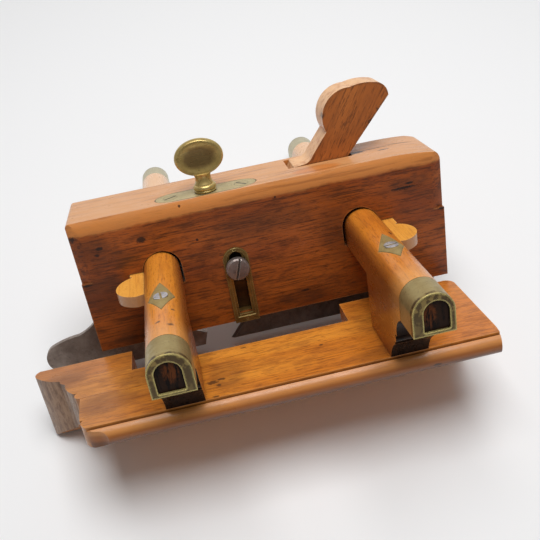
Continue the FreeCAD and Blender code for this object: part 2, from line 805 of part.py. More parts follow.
def build_stock(cutters):
    near_arris = [(0, stock_height - front_arris_drop), (front_arris_depth, stock_height)]
    far_arris = [
        (stock_thickness, stock_height - back_arris_drop),
        (stock_thickness - back_arris_depth, stock_height),
    ]
    section = prism(
        "yz",
        (0, 0),
        [
            near_arris[0],
            (bend(near_arris[0], near_arris[1], (0, 1)), near_arris[1]),
            far_arris[1],
            (bend(far_arris[0], far_arris[1], (0, 1)), far_arris[0]),
            (stock_thickness, rebate_height),
            (skate_near_face, rebate_height),
            (skate_near_face, 0),
        ],
        0,
        stock_length,
    )
    heel = stock_length
    toe_turn = [(0, stock_height - toe_round), (toe_round, stock_height)]
    heel_brow = (heel_ease_end, stock_height - heel_ease_drop)
    heel_face = (heel, stock_height - heel_nose_drop)
    heel_start = (heel_ease_start, stock_height)
    side = prism(
        "xz",
        (0, -1),
        [
            toe_turn[0],
            (bend(toe_turn[0], toe_turn[1], (0, 1)), toe_turn[1]),
            heel_start,
            (bend(heel_start, heel_brow, (1, 0)), heel_brow),
            (bend(heel_face, heel_brow, (0, 1)), heel_face),
            (heel, -1),
        ],
        -1,
        stock_thickness + 1,
    )
    stock = section.common(side)
    for end, way in ((0.0, 1), (stock_length, -1)):
        chamfer = prism(
            "xy",
            (end - way * 1.0, -1.0),
            [
                (end + way * (corner_chamfer_length + 1.0), -1.0),
                (end + way * corner_chamfer_length, 0.0),
                (end, corner_chamfer_depth),
                (end - way * 1.0, corner_chamfer_depth),
            ],
            corner_chamfer_foot,
            stock_height + 1,
        )
        stock = stock.cut(chamfer)
    corner_start = (heel - heel_far_corner_length, stock_thickness)
    corner_end = (heel, stock_thickness - heel_far_corner_depth)
    far_corner = prism(
        "xy",
        corner_start,
        [
            (bend(corner_start, corner_end, (1, -0.08)), corner_end),
            (heel + 1, stock_thickness - heel_far_corner_depth),
            (heel + 1, stock_thickness + 1),
            (heel - heel_far_corner_length, stock_thickness + 1),
        ],
        corner_chamfer_foot,
        stock_height + 1,
    )
    stock = stock.cut(far_corner)
    mortise = prism(
        "xz",
        (bed_x(stock_height + 1), stock_height + 1),
        [
            (wall_x(stock_height + 1), stock_height + 1),
            (wall_x(throat_height), throat_height),
            (bed_x(throat_height), throat_height),
        ],
        mortise_near,
        mortise_near + mortise_width,
    )
    throat = prism(
        "xz",
        (bed_x(-1), -1),
        [
            (bed_x(throat_height), throat_height),
            (wall_x(throat_height), throat_height),
            ((throat_toe + 20.0, throat_rise), (throat_toe, 0.0)),
            (throat_toe, -1),
        ],
        mortise_near,
        stock_thickness + 1,
    )
    stock = stock.cut([mortise, throat])
    stem_holes = []
    for which, middle in stem_middles.items():
        side = outward[which]
        hole = stem_section(middle, -stem_gap, -1, stock_thickness + 1)
        stem_holes.append(hole)
        worn_hole = hole.copy()
        worn_hole.translate(Vector(stem_plays[which][0], 0, stem_plays[which][1]))
        stem_holes.append(worn_hole)
        flank = middle + side * (stem_half_width - 2.0)
        near_edge = key_edge(side, middle, 0.0, 2 * key_gap)
        far_edge = key_edge(side, middle, stock_thickness + 1, 2 * key_gap)
        stem_holes.append(
            prism(
                "xy",
                (flank, -1),
                [(near_edge, -1), (near_edge, 0), (far_edge, stock_thickness + 1), (flank, stock_thickness + 1)],
                key_top - key_thickness - key_gap,
                key_top + key_gap,
            )
        )
    stock = stock.cut(stem_holes)
    bar_gap = stop_side_gap
    bar_well = box(
        stop_bar_toe - bar_gap,
        stop_bar_heel + bar_gap,
        screw_y - stop_bar_thickness / 2 - bar_gap,
        screw_y + stop_bar_thickness / 2 + bar_gap,
        -1,
        stop_bar_top + stop_head_room,
    )
    shoe_well = box(
        shoe_toe - bar_gap,
        shoe_heel + bar_gap,
        shoe_near - bar_gap,
        max(shoe_near + shoe_width + bar_gap, mortise_near + 0.4),
        -1,
        shoe_top_gap + shoe_thickness + bar_gap,
    )
    spindle_bore = rod(spindle_radius + 0.4, (screw_x, screw_y, 0), (0, 0, 1), stock_height)
    collar_room = collar_height + 2 * head_gap + 0.3
    collar_well = rod(
        collar_radius + 0.3,
        (screw_x, screw_y, stock_height - plate_thickness - collar_room),
        (0, 0, 1),
        collar_room,
    )
    lock_way = slot_outline(slot_width / 2, slot_foot, slot_top, 0, screw_y)
    stock = stock.cut([bar_well, shoe_well, spindle_bore, collar_well, lock_way] + cutters)
    return stock


def main():
    skate_front, skate_rear, skate_rivets = build_skates()
    top_plate, top_plate_screws = build_top_plate()
    side_plate, side_plate_blank, side_plate_pins = build_side_plate()
    stop_bar, stop_shoe, stop_rivets = build_stop()
    screw_head, screw_spindle, screw_collar = build_stop_screw()
    cutters = [side_plate_blank, top_plate] + top_plate_screws + side_plate_pins + skate_rivets
    nodes = {
        "skate_front": [skate_front],
        "skate_rear": [skate_rear],
        "skate_screws": skate_rivets,
        "top_plate": [top_plate],
        "top_plate_screws": top_plate_screws,
        "side_plate": [side_plate],
        "side_plate_pins": side_plate_pins,
        "stop_bar": [stop_bar],
        "stop_shoe": [stop_shoe],
        "stop_rivets": stop_rivets,
        "stop_screw_head": [screw_head],
        "stop_screw_spindle": [screw_spindle],
        "stop_screw_collar": [screw_collar],
        "lock_screw": [build_lock_screw()],
        "cutting_iron": [build_iron()],
        "wedge": [build_wedge()],
    }
    fence = build_fence()
    stem_screws = []
    for which in ("front", "rear"):
        stem, ferrules, washer, screw = build_stem(which)
        nodes["stem_" + which] = [stem]
        nodes["ferrule_" + which + "_near"] = [ferrules[0]]
        nodes["ferrule_" + which + "_far"] = [ferrules[1]]
        nodes["washer_" + which] = [washer]
        nodes["key_" + which] = [build_key(which)]
        stem_screws.append(screw)
    nodes["stem_screws"] = stem_screws
    nodes["fence"] = [fence.cut(stem_screws)]
    nodes["stock_body"] = [build_stock(cutters)]
    os.makedirs("parts", exist_ok=True)
    for name, solids in nodes.items():
        flat = []
        for solid in solids:
            flat += solid.Solids
        shape = flat[0] if len(flat) == 1 else Part.makeCompound(flat)
        shape.translate(Vector(0, 0, 0) - origin)
        shape.exportStep("parts/" + name + ".step")
        size = shape.BoundBox
        print(
            f"{name}: {len(flat)} solid(s), valid {shape.isValid()}, volume {shape.Volume:.0f},",
            f"x {size.XMin:.1f}..{size.XMax:.1f} y {size.YMin:.1f}..{size.YMax:.1f} z {size.ZMin:.1f}..{size.ZMax:.1f}",
        )


main()
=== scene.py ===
# %% [markdown]
# A wooden plough plane cuts grooves along a board. Its stock is dark varnished beech, its fence
# hangs under two keyed stems, and its fittings are brass and steel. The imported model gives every
# piece its shape, place and joint. This file gives each one its finish, its worn edges, the light
# and the camera. The model is loaded first, because every later step sits on it.
# %% Load the frame
import math

import bpy
from mathutils import Matrix, Vector

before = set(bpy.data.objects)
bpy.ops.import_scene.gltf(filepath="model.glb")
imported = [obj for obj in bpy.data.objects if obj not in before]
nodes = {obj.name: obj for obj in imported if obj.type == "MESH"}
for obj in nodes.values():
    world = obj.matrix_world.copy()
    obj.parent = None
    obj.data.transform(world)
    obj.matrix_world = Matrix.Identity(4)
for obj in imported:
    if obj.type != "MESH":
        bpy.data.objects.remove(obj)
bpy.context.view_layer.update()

print("pieces loaded:", len(nodes))


# %% [markdown]
# The plane was drawn in millimetres from the stock's toe, its near face and its underside. The
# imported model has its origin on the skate's sole, in metres. One small helper turns drawing
# millimetres into model metres, so that a mark or a lamp can be placed by a maker's measures.
# %% Measures
STOCK_MIDDLE = 101.5
SKATE_MIDDLE = 25.5
SKATE_DROP = 24.3
STOCK_HEIGHT = 76.2
MILLIMETRE = 0.001


def at(x, y, z):
    """Drawing millimetres to model metres."""
    return Vector((x - STOCK_MIDDLE, y - SKATE_MIDDLE, z + SKATE_DROP)) * MILLIMETRE


def paint(red, green, blue):
    """A colour as mixed on a palette, 0 to 255, as the linear light a shader wants."""
    shares = []
    for part in (red, green, blue):
        share = part / 255
        shares.append(share / 12.92 if share <= 0.04045 else ((share + 0.055) / 1.055) ** 2.4)
    return (*shares, 1.0)


print("stock's near toe corner:", at(0, 0, STOCK_HEIGHT))


# %% [markdown]
# Nothing made of wood or cast brass has a knife-sharp corner after a hundred years. The corners
# could be rounded in the drawing, but that makes a heavy solid. A bevel modifier rounds them
# here instead: a weld first joins the split corner points, and weighted normals keep the broad
# faces flat to the eye.
# %% Soften the corners
WELD_REACH = 0.00002
FACE_WEIGHT = 80


def soften(name, width, segments=2, angle=32.0):
    piece = nodes[name]
    for polygon in piece.data.polygons:
        polygon.use_smooth = True
    weld = piece.modifiers.new("weld", "WELD")
    weld.merge_threshold = WELD_REACH
    bevel = piece.modifiers.new("worn corners", "BEVEL")
    bevel.width = width * MILLIMETRE
    bevel.segments = segments
    bevel.limit_method = "ANGLE"
    bevel.angle_limit = math.radians(angle)
    bevel.use_clamp_overlap = True
    bevel.harden_normals = False
    normals = piece.modifiers.new("even faces", "WEIGHTED_NORMAL")
    normals.weight = FACE_WEIGHT
    normals.keep_sharp = False


CORNERS = {
    "stock_body": 0.6,
    "fence": 0.5,
    "stem_front": 0.5,
    "stem_rear": 0.5,
    "wedge": 0.7,
    "key_front": 0.4,
    "key_rear": 0.4,
    "skate_front": 0.3,
    "skate_rear": 0.3,
    "cutting_iron": 0.15,
    "ferrule_front_near": 0.45,
    "ferrule_rear_near": 0.45,
    "ferrule_front_far": 0.45,
    "ferrule_rear_far": 0.45,
    "side_plate": 0.2,
    "top_plate": 0.15,
    "stop_bar": 0.3,
    "stop_shoe": 0.4,
    "lock_screw": 0.35,
    "stop_screw_head": 0.15,
}
for corner_name, corner_width in CORNERS.items():
    soften(corner_name, corner_width)
print("pieces with softened corners:", len(CORNERS))


# %% [markdown]
# Every finish is built from a few shader nodes. Writing them one by one hides the idea behind
# the wiring, so small helpers do it: they start a named finish, add a node, plug its inputs and
# lay one colour over another. Textures are read in object space, in metres, so the grain moves
# with the piece.
# %% Shader helpers
def start_finish(name):
    finish = bpy.data.materials.new(name)
    finish.use_nodes = True
    tree = finish.node_tree
    shader = tree.nodes["Principled BSDF"]
    return finish, tree, shader


def plug(tree, made, inputs):
    """Links a socket, or sets a plain value, for each input."""
    for key, value in inputs.items():
        if isinstance(value, bpy.types.NodeSocket):
            tree.links.new(value, made.inputs[key])
        else:
            made.inputs[key].default_value = value


def add(tree, kind, inputs=None, **settings):
    made = tree.nodes.new(kind)
    for key, value in settings.items():
        setattr(made, key, value)
    plug(tree, made, inputs or {})
    return made


def maths(tree, operation, first, second=0.0):
    return add(tree, "ShaderNodeMath", {0: first, 1: second}, operation=operation).outputs[0]


def span(tree, value, low, high, to_low=0.0, to_high=1.0):
    """Value from low to high becomes a smooth share between two others."""
    inputs = {"Value": value, 1: low, 2: high, 3: to_low, 4: to_high}
    made = add(tree, "ShaderNodeMapRange", inputs, interpolation_type="SMOOTHSTEP")
    return made.outputs[0]


def blend_colours(tree, share, first, second):
    made = add(tree, "ShaderNodeMix", data_type="RGBA")
    plug(tree, made, {0: share, 6: first, 7: second})
    return made.outputs[2]


def lay(tree, colour, mask, share, coat):
    """Lays a coat of another colour where the mask is, at a share of its strength."""
    return blend_colours(tree, maths(tree, "MULTIPLY", mask, share), colour, coat)


def object_place(tree):
    return add(tree, "ShaderNodeTexCoord").outputs["Object"]


def cloud(tree, place, scale, detail=3.0, roughness=0.55, stretch=(1.0, 1.0, 1.0)):
    """Noise whose patches are 1 / scale metres across, stretched by its axes."""
    factors = [scale * part for part in stretch]
    stretched = add(tree, "ShaderNodeVectorMath", {0: place, 1: factors}, operation="MULTIPLY")
    inputs = {"Vector": stretched.outputs[0], "Scale": 1.0, "Detail": detail, "Roughness": roughness}
    return add(tree, "ShaderNodeTexNoise", inputs).outputs[0]


def facing(tree, axis):
    """How far the surface faces along an object axis, from -1 to 1."""
    normal = add(tree, "ShaderNodeTexCoord").outputs["Normal"]
    made = add(tree, "ShaderNodeVectorMath", {0: normal, 1: axis}, operation="DOT_PRODUCT")
    return made.outputs["Value"]


def part_of(tree, place, axis):
    parts = add(tree, "ShaderNodeSeparateXYZ", {0: place})
    return parts.outputs["XYZ".index(axis)]


print("shader helpers ready")


# %% [markdown]
# Handled wood goes pale where hands and benches rub its corners, and dark where grime settles
# in its hollows. The render engine can find both: the bevel node's rounded normal differs from
# the true one near a corner, and ambient occlusion is low in a hollow. So two of the masks find
# their own places, and the third puts single marks where they were seen.
# %% Wear and grime masks
SPOT_EDGE = 1.1
FLAT_SHARE = 0.995
CORNER_SHARE = 0.88
OPEN_LIGHT = 0.75
HOLLOW_LIGHT = 0.2


def corner_wear(tree, radius):
    rounded = add(tree, "ShaderNodeBevel", {"Radius": radius}, samples=4).outputs[0]
    plain = add(tree, "ShaderNodeNewGeometry").outputs["Normal"]
    alike = add(tree, "ShaderNodeVectorMath", {0: rounded, 1: plain}, operation="DOT_PRODUCT")
    return span(tree, alike.outputs["Value"], FLAT_SHARE, CORNER_SHARE)


def hollow_grime(tree, reach):
    shade = add(tree, "ShaderNodeAmbientOcclusion", {"Distance": reach}, samples=6).outputs["AO"]
    return span(tree, shade, OPEN_LIGHT, HOLLOW_LIGHT)


def spots(tree, place, ragged, marks, fade=0.5):
    """A mask of dark marks, each one a centre and its half sizes in millimetres."""
    mask = None
    for centre, halves in marks:
        offset = add(tree, "ShaderNodeVectorMath", {0: place, 1: at(*centre)}, operation="SUBTRACT")
        shares = [1 / (half * MILLIMETRE) for half in halves]
        scaled = add(tree, "ShaderNodeVectorMath", {0: offset.outputs[0], 1: shares}, operation="MULTIPLY")
        away = add(tree, "ShaderNodeVectorMath", {0: scaled.outputs[0]}, operation="LENGTH")
        edge = maths(tree, "ADD", away.outputs["Value"], ragged)
        spot = span(tree, edge, SPOT_EDGE + fade, SPOT_EDGE)
        mask = spot if mask is None else maths(tree, "MAXIMUM", mask, spot)
    return mask


print("masks ready")


# %% [markdown]
# Beech has no bold figure: its colour drifts slowly along the board and is mottled where dirt has
# soaked in, with thin streaks along the grain and short dark flecks where the rays and pores are
# cut. Four stretched noises give these four sizes. One recipe makes all the woods, and each wood
# brings its own colours, grain direction and polish.
# %% Wood recipe
def turn_grain(tree, place, axis, degrees):
    inputs = {"Vector": place, "Axis": axis, "Angle": math.radians(degrees)}
    return add(tree, "ShaderNodeVectorRotate", inputs, rotation_type="AXIS_ANGLE").outputs[0]


ALONG_X = ((0, 0, 1), 0.0)
ALONG_Y = ((0, 0, 1), 90.0)
RUBBED_REACH = 0.0012
GRIME_REACH = 0.004
WOOD_GRIME = paint(34, 18, 11)
WOOD_SHINE = 0.36
VARNISH = 0.22
VARNISH_ROUGHNESS = 0.24
WOOD_RELIEF = 0.00025


def wood(name, pale, deep, dark, worn, grain=ALONG_X, streaks=0.5, flecks=0.5, polish=0.32, wear=0.5):
    finish, tree, shader = start_finish(name)
    place = object_place(tree)
    along = turn_grain(tree, place, *grain)
    drift = cloud(tree, along, 34, 3.0, 0.55, (0.22, 1.0, 1.0))
    mottle = cloud(tree, along, 190, 4.0, 0.65, (0.4, 1.0, 1.0))
    streak = cloud(tree, along, 820, 5.0, 0.7, (0.04, 1.0, 1.0))
    fleck = cloud(tree, along, 1500, 3.0, 0.6, (0.12, 1.0, 1.0))
    colour = blend_colours(tree, span(tree, drift, 0.36, 0.64), pale, deep)
    colour = blend_colours(tree, span(tree, mottle, 0.46, 0.68, 0.0, streaks * 0.8), colour, dark)
    colour = blend_colours(tree, span(tree, streak, 0.5, 0.62, 0.0, streaks), colour, dark)
    fleck_share = span(tree, fleck, 0.54, 0.64, 0.0, flecks)
    colour = blend_colours(tree, fleck_share, colour, dark)
    edge = maths(tree, "MULTIPLY", corner_wear(tree, RUBBED_REACH), span(tree, drift, 0.3, 0.6, 0.4, 1.0))
    edge = maths(tree, "MULTIPLY", edge, wear)
    colour = blend_colours(tree, edge, colour, worn)
    grime = maths(tree, "MULTIPLY", hollow_grime(tree, GRIME_REACH), 0.75)
    colour = blend_colours(tree, grime, colour, WOOD_GRIME)
    roughness = span(tree, mottle, 0.3, 0.7, polish - 0.06, polish + 0.13)
    tree.links.new(roughness, shader.inputs["Roughness"])
    shader.inputs["Specular IOR Level"].default_value = WOOD_SHINE
    shader.inputs["Coat Weight"].default_value = VARNISH
    shader.inputs["Coat Roughness"].default_value = VARNISH_ROUGHNESS
    height = maths(tree, "ADD", maths(tree, "MULTIPLY", streak, 0.5), mottle)
    height = maths(tree, "SUBTRACT", height, maths(tree, "MULTIPLY", fleck_share, 0.5))
    bump = add(tree, "ShaderNodeBump", {"Height": height, "Strength": 0.35, "Distance": WOOD_RELIEF})
    tree.links.new(bump.outputs[0], shader.inputs["Normal"])
    return finish, tree, shader, place, colour


def settle(tree, shader, colour):
    tree.links.new(colour, shader.inputs["Base Color"])


def give(finish, *names):
    """Puts a finish on the model's own pieces."""
    for name in names:
        for slot in nodes[name].material_slots:
            slot.material = finish


def along_x(millimetres):
    return at(millimetres, 0, 0).x


def along_y(millimetres):
    return at(0, millimetres, 0).y


def level(millimetres):
    return at(0, 0, millimetres).z


print("wood recipe ready")


# %% [markdown]
# The stock's face is red-brown under old varnish and darker towards its foot. Its rounded arris
# is a paler band, and its top is paler still, because the hand has carried the colour off. The
# height of a point finds the band and the way it faces finds the top. Knocks, ink-dark spots and
# broad soft smudges are placed one by one. So are two painted marks: the wedge's shadow, dark on
# the top behind it along the far edge, and the wedge's reflection, an orange patch on the top in
# front of it.
# %% Stock
STOCK_MARKS_AND_WEDGE_SHADOW = [
    ((36.6, 0.0, 60.3), (3.0, 3.0, 2.0)),
    ((14.3, 0.0, 60.3), (2.4, 3.0, 1.2)),
    ((12.3, 0.0, 56.9), (1.6, 3.0, 1.0)),
    ((1.5, 0.5, 67.5), (3.2, 3.0, 2.4)),
    ((65.3, 0.0, 53.7), (1.0, 2.0, 0.9)),
    ((119.1, 0.0, 9.9), (3.0, 2.0, 0.9)),
    ((180.0, 0.0, 58.0), (8.5, 2.0, 0.9)),
    ((184.0, 0.0, 60.2), (3.0, 2.0, 0.8)),
    ((2.6, 0.0, 41.0), (3.4, 2.0, 0.8)),
    ((201.5, 0.0, 41.4), (2.5, 3.0, 0.8)),
    ((60.0, 0.5, 74.0), (0.9, 1.5, 0.9)),
    ((110.4, 0.0, 68.2), (0.8, 2.0, 0.8)),
    # Painted shadow: these four marks on the top behind the wedge are the wedge's cast shadow.
    ((161.0, 21.0, 76.2), (6.5, 2.4, 2.0)),
    ((172.0, 22.0, 76.2), (12.0, 0.6, 2.0)),
    ((188.0, 24.0, 76.0), (10.0, 0.5, 2.0)),
    ((176.0, 16.8, 76.2), (4.0, 0.9, 2.0)),
    ((94.5, 4.4, 76.2), (1.4, 0.7, 1.0)),
]
STOCK_SMUDGES = [
    ((8.0, 0.0, 60.0), (13.0, 4.0, 7.0)),
    ((20.0, 0.0, 52.0), (14.0, 4.0, 5.0)),
    ((10.0, 0.0, 34.0), (14.0, 4.0, 12.0)),
    ((100.0, 0.0, 56.0), (26.0, 4.0, 7.0)),
    ((140.0, 0.0, 40.0), (9.0, 4.0, 17.0)),
    ((182.0, 0.0, 59.0), (13.0, 4.0, 5.0)),
    ((118.0, 0.0, 6.0), (22.0, 4.0, 5.0)),
    ((30.0, 0.0, 6.0), (26.0, 4.0, 9.0)),
]
# Painted reflection: an orange patch on the top in front of the wedge, where the wedge's mirror image
# hides the pale sheen.
WEDGE_REFLECTION_PATCH = [((136.0, 8.0, 76.2), (13.0, 5.5, 2.0))]
print("marks on the stock:", len(STOCK_MARKS_AND_WEDGE_SHADOW), "smudges:", len(STOCK_SMUDGES))

# %% Finish of the stock
FOOT_SHADE_TOP = 40.0
BAND_LOW = 67.8
BAND_HIGH = 70.0
BAND_WAVE = 0.004
TOP_ONLY_LOW = 60.0
TOP_ONLY_HIGH = 66.0
stock_wood, tree, shader, place, colour = wood(
    "stock_wood",
    paint(178, 94, 34),
    paint(146, 70, 25),
    paint(60, 29, 14),
    paint(214, 146, 84),
    streaks=0.64,
    flecks=0.55,
)
ragged = cloud(tree, place, 900, 3.0, 0.6)
broad = cloud(tree, place, 120, 4.0, 0.65, (0.5, 1.0, 1.0))
smudges = spots(tree, place, maths(tree, "MULTIPLY", broad, 1.2), STOCK_SMUDGES, 0.9)
colour = lay(tree, colour, smudges, 0.42, paint(48, 30, 22))
height = part_of(tree, place, "Z")
foot_shade = span(tree, height, level(FOOT_SHADE_TOP), level(0.0), 0.0, 0.2)
colour = blend_colours(tree, foot_shade, colour, paint(56, 28, 16))
wave = maths(tree, "MULTIPLY", maths(tree, "SUBTRACT", broad, 0.5), BAND_WAVE)
ripple = maths(tree, "ADD", height, wave)
band = span(tree, ripple, level(BAND_LOW), level(BAND_HIGH), 0.0, 0.78)
colour = blend_colours(tree, band, colour, paint(224, 146, 76))
near_top = span(tree, height, level(TOP_ONLY_LOW), level(TOP_ONLY_HIGH))
upward = maths(tree, "MULTIPLY", facing(tree, (0, 0, 1)), near_top)
colour = blend_colours(tree, span(tree, upward, 0.55, 0.92, 0.0, 0.84), colour, paint(208, 152, 100))
# Painted reflection of the wedge, laid in orange on the top.
wedge_reflection = spots(tree, place, maths(tree, "MULTIPLY", broad, 0.6), WEDGE_REFLECTION_PATCH, 0.4)
colour = lay(tree, colour, wedge_reflection, 0.7, paint(200, 116, 44))
streaky = cloud(tree, place, 420, 5.0, 0.65, (0.05, 1.0, 1.0))
colour = blend_colours(tree, span(tree, streaky, 0.5, 0.66, 0.0, 0.4), colour, paint(120, 62, 28))
marks = spots(tree, place, maths(tree, "MULTIPLY", ragged, 1.1), STOCK_MARKS_AND_WEDGE_SHADOW)
colour = lay(tree, colour, marks, 0.88, paint(32, 22, 19))
settle(tree, shader, colour)
give(stock_wood, "stock_body")
print("shader nodes in the stock's finish:", len(tree.nodes))

# %% [markdown]
# The fence is a lighter, more golden board, duller towards its toe. Its rounded nose gets a
# painted highlight, a paler band, and painted shade below it, darkest underneath. Its moulded toe
# end is end grain, which drinks dirt and turns grey-brown, so every upright face near the toe gets
# that colour.
# %% Fence
FENCE_MARKS = [
    ((57.5, -54.0, -1.3), (3.8, 1.9, 2.0)),
    ((62.5, -52.6, -1.3), (2.6, 1.2, 2.0)),
    ((60.5, -57.5, -1.3), (1.6, 1.2, 2.0)),
    ((116.4, -42.4, -1.3), (1.3, 1.0, 2.0)),
    ((76.7, -27.9, -1.3), (1.8, 0.8, 2.0)),
    ((58.0, -66.5, -1.3), (2.2, 1.0, 2.0)),
    ((168.0, -71.0, -9.0), (3.2, 3.0, 1.0)),
]
FENCE_SMUDGES = [
    ((22.0, -34.0, -1.3), (13.0, 8.0, 3.0)),
    ((5.0, -50.0, -1.3), (16.0, 10.0, 3.0)),
    ((-20.0, -20.0, -1.3), (12.0, 9.0, 3.0)),
    ((66.0, -50.0, -1.3), (9.0, 14.0, 3.0)),
    ((180.0, -30.0, -1.3), (12.0, 12.0, 3.0)),
    ((150.0, -62.0, -1.3), (22.0, 5.0, 3.0)),
]
print("marks on the fence:", len(FENCE_MARKS), "smudges:", len(FENCE_SMUDGES))

# %% Finish of the fence
DULL_FROM = 50.0
DULL_TO = -25.0
NOSE_FROM = -67.4
NOSE_TO = -68.6
NOSE_SIDE_SHADE = (-4.2, -7.0)
NOSE_UNDER_SHADE = (-7.6, -10.5)
TOE_FROM = -10.0
TOE_TO = -15.0
fence_wood, tree, shader, place, colour = wood(
    "fence_wood",
    paint(226, 146, 52),
    paint(206, 122, 40),
    paint(116, 58, 22),
    paint(228, 162, 92),
    streaks=0.45,
)
dull = span(tree, part_of(tree, place, "X"), along_x(DULL_FROM), along_x(DULL_TO), 0.0, 0.5)
colour = blend_colours(tree, dull, colour, paint(150, 100, 60))
broad = cloud(tree, place, 110, 4.0, 0.65, (0.5, 1.0, 1.0))
smudges = spots(tree, place, maths(tree, "MULTIPLY", broad, 1.2), FENCE_SMUDGES, 0.9)
colour = lay(tree, colour, smudges, 0.4, paint(88, 52, 32))
height = part_of(tree, place, "Z")
# Painted highlight: the rounded nose is painted a paler band.
nose = span(tree, part_of(tree, place, "Y"), along_y(NOSE_FROM), along_y(NOSE_TO), 0.0, 0.7)
colour = blend_colours(tree, nose, colour, paint(200, 136, 78))
# Painted shade: lower on the nose it is painted darker, and darkest underneath.
for (upper, lower), coat in ((NOSE_SIDE_SHADE, paint(138, 70, 22)), (NOSE_UNDER_SHADE, paint(84, 54, 38))):
    below = maths(tree, "MULTIPLY", nose, span(tree, height, level(upper), level(lower)))
    colour = blend_colours(tree, below, colour, coat)
upright = span(tree, maths(tree, "ABSOLUTE", facing(tree, (0, 0, 1))), 0.7, 0.4)
toeward = span(tree, part_of(tree, place, "X"), along_x(TOE_FROM), along_x(TOE_TO))
toe_end = maths(tree, "MULTIPLY", upright, toeward)
end_grain = cloud(tree, place, 500, 4.0, 0.65, (1.0, 1.0, 0.3))
end_share = span(tree, end_grain, 0.35, 0.65)
end_colour = blend_colours(tree, end_share, paint(158, 128, 102), paint(104, 78, 60))
colour = lay(tree, colour, toe_end, 0.85, end_colour)
ragged = cloud(tree, place, 700, 3.0, 0.6)
marks = spots(tree, place, maths(tree, "MULTIPLY", ragged, 1.2), FENCE_MARKS)
colour = lay(tree, colour, marks, 0.75, paint(48, 34, 28))
settle(tree, shader, colour)
give(fence_wood, "fence")
print("shader nodes in the fence's finish:", len(tree.nodes))

# %% [markdown]
# The stems glow orange under thick varnish on their round tops. Their flanks are painted a duller
# brown, as painted shade, and the hand has worn them pale by the near ferrules. Their far parts are
# painted paler as painted glare. Where a ferrule caps a stem, the end grain is set a little back
# from the brass, almost black and cracked, with a brown heart. Every face of the moulded foot under
# each stem that looks along the stem gets the same near-black colour. All of these are found by
# place and by direction.
# %% Stems
STEM_NEAR = -105.9
STEM_FAR = 167.4
STEM_MARKS = [
    ((41.5, -77.0, 50.6), (1.6, 1.2, 2.0)),
    ((47.0, -80.5, 50.4), (2.2, 1.3, 2.0)),
    ((48.5, -66.0, 50.0), (1.6, 0.9, 2.0)),
    ((160.5, -36.0, 49.5), (1.0, 2.4, 2.0)),
]
STEM_HEARTS = [
    ((44.0, -104.6, 42.0), (3.4, 3.0, 5.2)),
    ((154.0, -104.6, 40.5), (3.0, 3.0, 6.0)),
]
HANDLED_FROM = -70.0
HANDLED_TO = -88.0
STEM_GLARE_START = 45.0
STEM_GLARE_END = 80.0
print("marks on the stems:", len(STEM_MARKS))

# %% Finish of the stems
stem_wood, tree, shader, place, colour = wood(
    "stem_wood",
    paint(222, 142, 50),
    paint(204, 118, 36),
    paint(124, 62, 26),
    paint(234, 166, 88),
    grain=ALONG_Y,
    streaks=0.22,
    flecks=0.45,
    polish=0.27,
)
# Painted shade: the flanks are painted a duller brown, by how far they face along the x axis.
flank_shade = maths(tree, "ABSOLUTE", facing(tree, (1, 0, 0)))
colour = blend_colours(tree, span(tree, flank_shade, 0.6, 0.98, 0.0, 0.72), colour, paint(132, 68, 30))
along_stem = part_of(tree, place, "Y")
handled = span(tree, along_stem, along_y(HANDLED_FROM), along_y(HANDLED_TO), 0.0, 0.5)
colour = blend_colours(tree, handled, colour, paint(220, 158, 90))
# Painted glare: the far part of each stem is painted paler, as haze and sheen of bright light.
painted_stem_glare = span(tree, along_stem, along_y(STEM_GLARE_START), along_y(STEM_GLARE_END), 0.0, 0.8)
colour = blend_colours(tree, painted_stem_glare, colour, paint(238, 196, 154))
nearward = maths(tree, "ABSOLUTE", facing(tree, (0, 1, 0)))
cracks = cloud(tree, place, 620, 4.0, 0.7, (1.0, 1.0, 0.18))
ragged = cloud(tree, place, 800, 3.0, 0.6)
hearts = spots(tree, place, maths(tree, "MULTIPLY", ragged, 1.2), STEM_HEARTS, 0.8)
hearts = maths(tree, "MULTIPLY", hearts, 0.8)
heart_colour = blend_colours(tree, hearts, paint(46, 29, 20), paint(112, 60, 28))
end_colour = blend_colours(tree, span(tree, cracks, 0.45, 0.62), heart_colour, paint(22, 15, 13))
colour = blend_colours(tree, span(tree, nearward, 0.3, 0.7), colour, end_colour)
end_shine = span(tree, nearward, 0.3, 0.7, WOOD_SHINE, 0.08)
tree.links.new(end_shine, shader.inputs["Specular IOR Level"])
end_varnish = span(tree, nearward, 0.3, 0.7, VARNISH, 0.05)
tree.links.new(end_varnish, shader.inputs["Coat Weight"])
marks = spots(tree, place, maths(tree, "MULTIPLY", ragged, 1.2), STEM_MARKS)
colour = lay(tree, colour, marks, 0.75, paint(56, 38, 32))
settle(tree, shader, colour)
give(stem_wood, "stem_front", "stem_rear")
print("shader nodes in the stems' finish:", len(tree.nodes))

# %% [markdown]
# The wedge is beech too, but bare of varnish along its rounded brow, where a mallet knocks it
# out. Dirt has gathered on its sides just inside that brow. The keys are boxwood, smooth and
# honey yellow on top, and dirtier on their edges.
# %% Finish of the wedge
WEDGE_GRAIN = ((0, 1, 0), 58.0)
BROW_GRIME_REACH = 0.0026
WEDGE_MARKS = [
    ((175.4, 17.8, 98.6), (1.4, 3.0, 2.6)),
    ((170.6, 17.8, 93.0), (2.4, 3.0, 2.0)),
    ((144.5, 19.0, 101.5), (3.0, 4.0, 3.6)),
]
wedge_wood, tree, shader, place, colour = wood(
    "wedge_wood",
    paint(204, 122, 56),
    paint(174, 98, 42),
    paint(82, 44, 22),
    paint(196, 134, 84),
    grain=WEDGE_GRAIN,
    streaks=0.22,
    flecks=0.6,
    polish=0.42,
)
sidelong = maths(tree, "ABSOLUTE", facing(tree, (0, 1, 0)))
